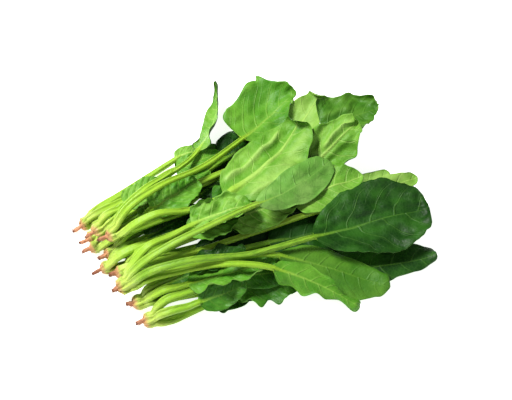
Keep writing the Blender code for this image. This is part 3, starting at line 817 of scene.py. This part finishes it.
def outlined(mid, share, flat, stations, across, shape, seed):
    """Draws the margins in or out where the leaf has notches and lobes."""
    wander = ripple(stations[:, None], across * 0 + np.sign(across) * 0.05, seed + 6, 0.030, 0.006, 8)
    wider = 1 + shape.jag * flat * (wander - 0.3)
    for side, place, width, reach in shape.lobes:
        bulge = np.exp(-np.abs((share - place) / width) ** 2.5)
        wider = wider + (np.sign(across) == side) * reach * bulge
    return mid + (mid - mid[:, CENTRE:CENTRE + 1]) * ((wider - 1) * np.abs(across) ** 3)[..., None]


def skin_normal(mid):
    """The way up from each point of the leaf's middle skin."""
    normal = np.cross(np.gradient(mid, axis=0), np.gradient(mid, axis=1))
    normal /= np.maximum(np.linalg.norm(normal, axis=2, keepdims=True), 1e-12)
    normal[-1] = normal[-2]
    return normal


def puffs(out, along, gap, margin, seed):
    """A count that is whole on each side vein, and how far the blade puffs up between them."""
    swerve = ripple(out, along, seed, 0.07, 0.025, 6) * 0.12
    lean = 0.45 + 0.55 * margin
    from_rib = swerve * step_up(np.abs(out), 0.0, 0.012)
    phase = (along - np.abs(out) * lean) / gap + 0.5 * (out > 0) + from_rib
    to_vein = np.abs(phase - np.round(phase)) * 2
    puff = np.sin(np.pi * to_vein / 2) ** 1.4
    drift = ripple(out, along, seed + 1, 0.05, 0.02, 4)
    cross_vein = 0.65 + 0.35 * np.cos(2 * np.pi * np.abs(out) / (gap * 0.62) + drift)
    return phase, puff * cross_vein


def folds(out, share, flat, large, shape):
    """How high the creases along the blade stand, and how deep where that is below 0."""
    fold = np.zeros_like(out)
    for aside, first, last, width, height in shape.creases:
        ridge = np.exp(-np.abs((out - aside - FOLD_WANDER * large) / width) ** 1.7)
        window = step_up(share, first, first + FOLD_ENDS) * (1 - step_up(share, last - FOLD_ENDS, last))
        fold = fold + height * ridge * window * flat
    return fold


def rolled_margins(mid, normal, out, half, share, flat, along, shape, seed):
    """Rolls up the left and the right margin, less towards the two ends of the blade."""
    sideways = mid[:, -1] - mid[:, 0]
    sideways /= np.maximum(np.linalg.norm(sideways, axis=1, keepdims=True), 1e-9)
    fading = (np.sin(math.pi * share) ** 0.5) * flat
    for side, (width, radius) in ((1, shape.left), (-1, shape.right)):
        if width > 0:
            width = width * fading * (1 + 0.5 * ripple(along, along * 0, seed + 8 + side, 0.05, 0.02, 5))
            forward, rise = rolled(out * side - (half - width), radius, MARGIN_TURN)
            mid = mid + sideways[:, None] * side * forward + normal[:, CENTRE:CENTRE + 1] * rise
    return mid


def rolled_tip(mid, normal, stations, shape, end):
    """Rolls up the last part of the blade."""
    length, radius, turn = shape.tip
    if length == 0:
        return mid
    row = int(np.searchsorted(stations, end - length))
    onward = mid[row + 1, CENTRE] - mid[row - 1, CENTRE]
    onward /= np.linalg.norm(onward)
    forward, rise = rolled((mid - mid[row, CENTRE]) @ onward, radius, turn)
    late = (np.arange(ROWS) >= row)[:, None, None]
    return mid + (onward * forward + normal[row, CENTRE] * rise) * late


def laid(high, low, normal, fold, stations, heap):
    """Lifts the two skins over the pieces below them and out of the floor, and adds them to the heap."""
    need = heap.under(low) + PIECE_GAP - low[..., 2]
    least = np.clip(need, 0, LIFT_CAP) * step_up(stations, *FREE_FROM_CROWN)[:, None]
    lift = least
    for _ in range(LIFT_SOFTENINGS):
        soft = lift.copy()
        soft[1:-1] = (lift[:-2] + lift[2:] + 2 * lift[1:-1]) / 4
        soft[:, 1:-1] = (soft[:, :-2] + soft[:, 2:] + 2 * soft[:, 1:-1]) / 4
        lift = np.maximum(least, soft)
    raised = normal * np.maximum(fold, 0)[..., None]
    raised[..., 2] += lift
    high = high + raised
    low = low + raised
    high[..., 2] = np.maximum(high[..., 2], LEAST_TOP)
    low[..., 2] = np.maximum(low[..., 2], LEAST_UNDERSIDE)
    heap.lay(high)
    return high, low


def round_leaf(values, first, final, below=None):
    """A mark's values over the upper skin and back under the lower one, and at the leaf's two end points."""
    over = np.broadcast_to(values, (ROWS, ACROSS_COUNT))
    under = over if below is None else np.broadcast_to(below, (ROWS, ACROSS_COUNT))
    return np.concatenate([np.concatenate([over, under[:, ::-1]], axis=1).ravel(), [first, final]])


def add_leaf(look, heap):
    """Lays the fine leaf over the pieces below it, in its solid's place, and makes its mesh."""
    suffix, finish_name, shown, crinkle, ruffle, vein_count = look
    node = "plant_" + suffix
    shape = LEAF_SHAPES.get(suffix, Shape())
    seed = sum(map(ord, node)) * 7
    top_shown = shown == "top"

    # Fine rows and columns along the solid's rings
    upper, lower, tip = cage_of(node)
    upper, lower = clasping(node, upper, lower)
    middle = (upper + lower) / 2
    middle = np.concatenate([middle, np.repeat(tip[None, None], SKIN_POINTS, axis=1)])
    steps = np.linalg.norm(np.diff(middle[:, SKIN_MIDDLE], axis=0), axis=1)
    knots = np.concatenate([[0], np.cumsum(steps)])
    start, end = knots[BLADE_ROW], knots[-1]
    blade_length = end - start
    on_stalk = start * np.linspace(0, 1, ROWS_ON_STALK, endpoint=False)
    on_blade = start + blade_length * (0.997 * np.linspace(0, 1, ROWS_ON_BLADE) ** 0.97)
    stations = np.concatenate([on_stalk, on_blade])
    share = np.clip((stations - start) / blade_length, 0, 1)[:, None]
    spine = smooth(knots, middle[:, SKIN_MIDDLE], stations)[:, None]
    spread = middle - middle[:, SKIN_MIDDLE:SKIN_MIDDLE + 1]
    stalk_rows = slice(0, BLADE_ROW + 1)
    columns = spine + np.concatenate([
        smooth(knots[stalk_rows], spread[stalk_rows], on_stalk),
        smooth(knots[BLADE_ROW:], spread[BLADE_ROW:], on_blade),
    ])
    across = np.linspace(-1, 1, ACROSS_COUNT)[None, :]
    flat = step_up(share, 0.0, 0.10)
    eased = np.sin(across * math.pi / 2) * (1 - flat) + np.sign(across) * np.abs(across) ** 1.3 * flat
    weights = np.stack([smooth(CAGE_ACROSS, np.eye(SKIN_POINTS), row) for row in eased])
    mid = np.einsum("rjc,rcx->rjx", weights, columns)
    mid = outlined(mid, share, flat, stations, across, shape, seed)
    out = np.linalg.norm(mid - mid[:, CENTRE:CENTRE + 1], axis=2) * np.sign(across)
    half = np.abs(out).max(1, keepdims=True)
    margin = np.abs(eased)
    along = (stations - start)[:, None]
    normal = skin_normal(mid)

    # Crinkles, creases and waves
    gap = blade_length / vein_count
    phase, puff = puffs(out, along, gap, margin, seed)
    small = ripple(out, along, seed + 2, 0.020, 0.008, 10)
    large = ripple(out, along, seed + 3, 0.060, 0.028, 7) * shape.puffed
    lively = flat * step_up(np.abs(out), 0.001, 0.007)
    facing = 1 if top_shown else -1
    bumps = PUFF_HEIGHT * facing * (puff - 0.4) + SMALL_SWELL * small + LARGE_SWELL * large
    pleat = np.sin(2 * np.pi * np.abs(out) / PLEAT_WIDTH + 1.5 * large + seed)
    fold = folds(out, share, flat, large, shape)
    wave = ripple(along, out * 0.3, seed + 4, 0.045, 0.018, 5)
    swell = crinkle * lively * bumps + lively * shape.pleats * pleat + np.minimum(fold, 0)
    swell = swell + ruffle * flat * margin**3 * MARGIN_WAVE * wave
    mid = mid + normal * swell[..., None]
    mid = rolled_margins(mid, normal, out, half, share, flat, along, shape, seed)
    mid = rolled_tip(mid, normal, stations, shape, end)

    # The round of the stalk and the midrib, and the groove on its upper side
    thick_at = np.linalg.norm((upper - lower)[:, SKIN_MIDDLE], axis=1)
    stalk_half = np.linalg.norm(upper[:, -1] - upper[:, 0], axis=1) / 2
    stalk_half = smooth(knots[stalk_rows], stalk_half[stalk_rows], np.minimum(stations, start))[:, None]
    fuller = 1 + (0.50 * np.exp(-((stations - 0.012) / 0.036) ** 2)[:, None] + 0.22) * (1 - flat)
    rib_thick = smooth(knots[:-1], thick_at, np.minimum(stations, knots[-2]))[:, None]
    stout = shape.stout * (1.0 if top_shown else 1.25)
    rib_thick = rib_thick * (1 - 0.25 * flat) * (1 + (stout - 1) * flat) + 0.0002
    slimming = 1.0 - 0.92 * share ** (0.55 * stout**0.5)
    rib_half = np.maximum(stalk_half * slimming * (1 + 0.5 * (stout - 1) * flat), THINNEST_RIB)
    rib_half = np.where(share > 0, rib_half, half)
    mid = mid + (mid - mid[:, CENTRE:CENTRE + 1]) * (fuller - 1)[..., None]
    out = out * fuller
    rib_half = rib_half * fuller
    rib_thick = rib_thick * fuller
    round_off = np.sqrt(np.clip(1 - (out / np.maximum(rib_half, 1e-5)) ** 2, 0, 1))
    lamina = LAMINA * flat + STALK_EDGE * (1 - flat)
    thick = lamina + np.maximum(rib_thick - lamina, 0) * round_off
    above = 0.5 - (0.30 if top_shown else -0.30) * flat
    ridges = STALK_RIDGES * (1 - flat) * np.cos(np.pi * across * 5) * round_off
    groove = np.exp(-((out / (rib_half * 0.42)) ** 2)) * rib_thick
    groove = groove * (0.30 if top_shown else 0.12) * (1 - 0.55 * flat)
    high = mid + normal * (thick * above - groove + ridges)[..., None]
    low = mid - normal * (thick * (1 - above) + ridges)[..., None]
    high, low = laid(high, low, normal, fold, stations, heap)

    # The mesh, and what its finish is told
    ring = np.concatenate([high, low[:, ::-1]], axis=1)
    points = np.concatenate([ring.reshape(-1, 3), [ring[0].mean(0), ring[-1].mean(0)]])
    rib_seen = rib_half * (0.85 if top_shown else 1.1)
    rib_lasts = 1 - (0.75 if top_shown else 0.3) * share
    rib = np.where(share > 0, np.exp(-((out / rib_seen) ** 4)) * rib_lasts, 1.0)
    marks = {
        "phase": round_leaf(phase, 0, 0),
        "vein_gap": round_leaf(gap, gap, gap),
        "margin": round_leaf(margin, 0, 1),
        "share": round_leaf(share, 0, 1),
        "rib": round_leaf(rib, 1, 0),
        "up_stalk": round_leaf(stations[:, None], 0, end),
        "far_side": round_leaf(0, 0, 0, 1),
        # The crease heights, from which the finish paints a highlight on ridges and shade in hollows
        "fold": round_leaf(fold / FOLD_HEIGHT, 0, 0),
    }
    faces = closed_rings(ROWS, 2 * ACROSS_COUNT)
    add_piece(node + "_dressed", points, faces, LEAF_FINISHES[finish_name], marks, node)


heap = Heap()
for look in LEAF_LOOKS:
    add_leaf(look, heap)
